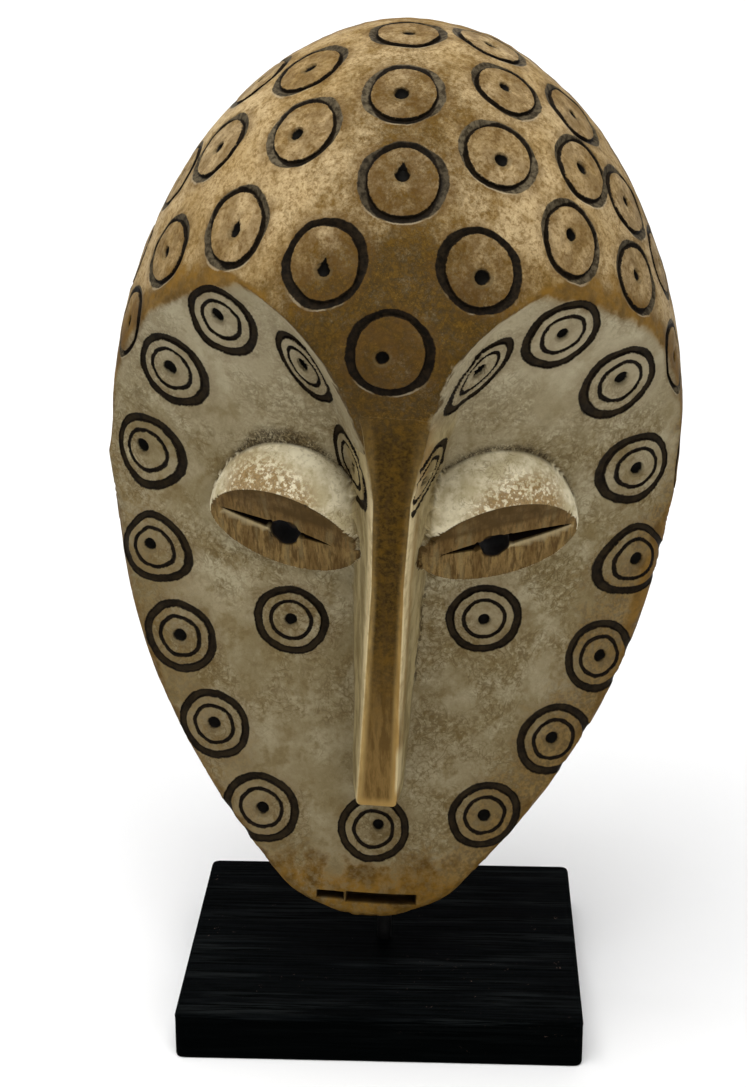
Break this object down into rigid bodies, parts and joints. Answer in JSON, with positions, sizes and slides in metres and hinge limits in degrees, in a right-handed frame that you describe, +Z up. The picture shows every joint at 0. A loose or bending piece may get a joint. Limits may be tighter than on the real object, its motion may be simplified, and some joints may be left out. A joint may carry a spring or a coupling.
{
  "type": "carved wooden mask on a display stand",
  "caption": "Hollow carved wooden mask with a domed forehead, long nose, slit eyes and ring-and-dot carving, held upright by a rod on a flat black wooden base.",
  "frame": {"origin": "centre of the base's underside, which stands on the surface", "axes": "+Z up; the mask faces -Y; +X to the viewer's right"},
  "size_m": [0.2742, 0.2111, 0.4917],
  "materials": {
    "carved_wood": "matt aged wood with worn pale clay on the face, golden-brown stain on the forehead and black-stained rings",
    "black_metal": "satin black",
    "black_wood": "black-stained wood with open grain, satin"
  },
  "bodies": {
    "root": {"mask": "carved_wood", "stand_rod": "black_metal", "stand_base": "black_wood"}
  },
  "joints": []
}
